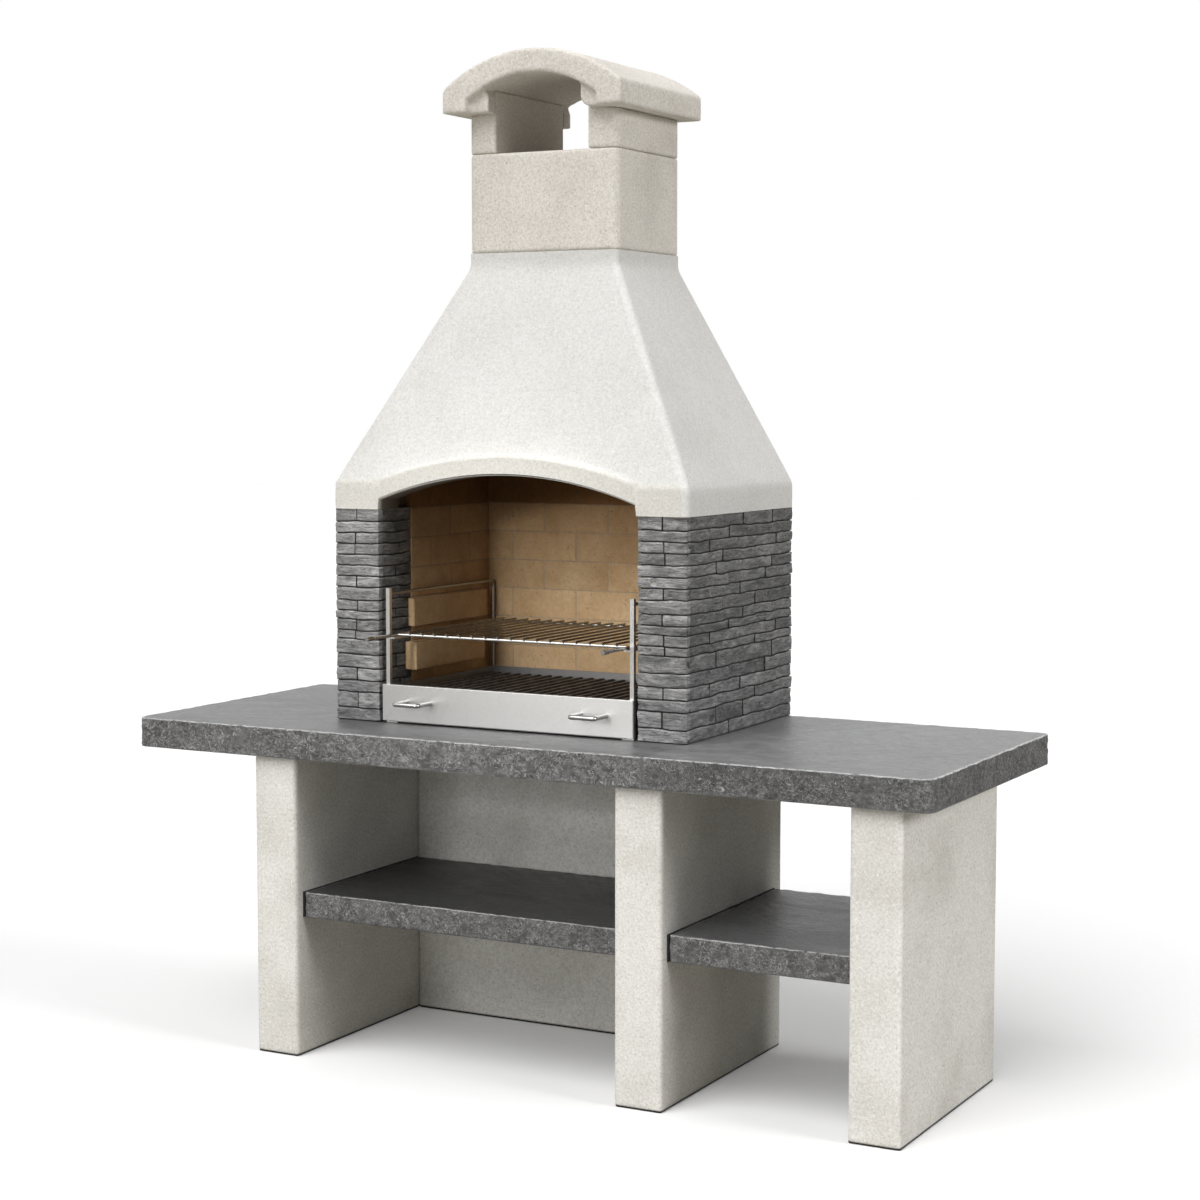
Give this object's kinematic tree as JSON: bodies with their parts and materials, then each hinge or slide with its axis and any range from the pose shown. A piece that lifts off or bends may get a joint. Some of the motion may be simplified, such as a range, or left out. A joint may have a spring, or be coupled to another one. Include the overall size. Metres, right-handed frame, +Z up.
{
  "type": "masonry barbecue",
  "caption": "Free-standing masonry barbecue with a stone-faced fire chamber, arched hood and chimney, a sliding charcoal tray and cooking grill, and a side worktop over open shelves.",
  "frame": {"origin": "on the floor under the middle of the worktop", "axes": "+X to the right along the worktop seen from the front, +Y to the back, +Z up"},
  "size_m": [2.04, 0.785, 2.359],
  "materials": {
    "cast_concrete": "pale cast concrete with fine dark specks",
    "shelf_concrete": "grey cast slab, smooth",
    "worktop_slab": "grey cast slab, smooth top and chiselled edge",
    "split_stone": "split stone strips, rough",
    "firebrick": "matt buff firebrick",
    "hood_concrete": "near-white cast concrete",
    "chimney_concrete": "beige cast concrete",
    "stainless_sheet": "brushed",
    "bright_steel": "polished",
    "grill_wire": "plated wire",
    "grate_steel": "black steel bars"
  },
  "bodies": {
    "structure": {"back_panel": "cast_concrete", "chimney_block": "chimney_concrete", "cowl_roof": "chimney_concrete", "frame_cross_bar": "stainless_sheet", "hood": "hood_concrete", "left_cowl_block": "chimney_concrete", "left_frame_rod": "stainless_sheet", "left_front_post": "stainless_sheet", "left_grill_rail": "stainless_sheet", "left_leg": "cast_concrete", "left_lining": "firebrick", "left_lower_ledge_brick": "firebrick", "left_side_wall": "cast_concrete", "left_stone_strips": "split_stone", "left_tray_runner": "stainless_sheet", "left_upper_ledge_brick": "firebrick", "main_shelf": "shelf_concrete", "main_worktop": "worktop_slab", "middle_leg": "cast_concrete", "rear_lining": "firebrick", "rear_wall": "cast_concrete", "right_cowl_block": "chimney_concrete", "right_frame_rod": "stainless_sheet", "right_front_post": "stainless_sheet", "right_grill_rail": "stainless_sheet", "right_leg": "cast_concrete", "right_lining": "firebrick", "right_lower_ledge_brick": "firebrick", "right_side_wall": "cast_concrete", "right_stone_strips": "split_stone", "right_tray_runner": "stainless_sheet", "right_upper_ledge_brick": "firebrick", "side_shelf": "shelf_concrete", "side_worktop": "worktop_slab"},
    "tray": {"tray_front_panel": "stainless_sheet", "tray_pan": "stainless_sheet", "tray_lugs": "stainless_sheet", "left_tray_handle": "bright_steel", "right_tray_handle": "bright_steel", "handle_nuts": "bright_steel"},
    "grate": {"charcoal_grate": "grate_steel"},
    "cooking_grill": {"grill_frame": "grill_wire", "grill_wires": "grill_wire", "grill_handle_caps": "bright_steel"}
  },
  "joints": [
    {"name": "tray_slide", "type": "slide", "parent": "structure", "child": "tray", "axis": [0, -1, 0], "range_m": [0, 0.4]},
    {"name": "grate_lift", "type": "slide", "parent": "tray", "child": "grate", "axis": [0, 0, 1], "range_m": [0, 0.08]},
    {"name": "grill_slide", "type": "slide", "parent": "structure", "child": "cooking_grill", "axis": [0, -1, 0], "range_m": [0, 0.22]}
  ]
}
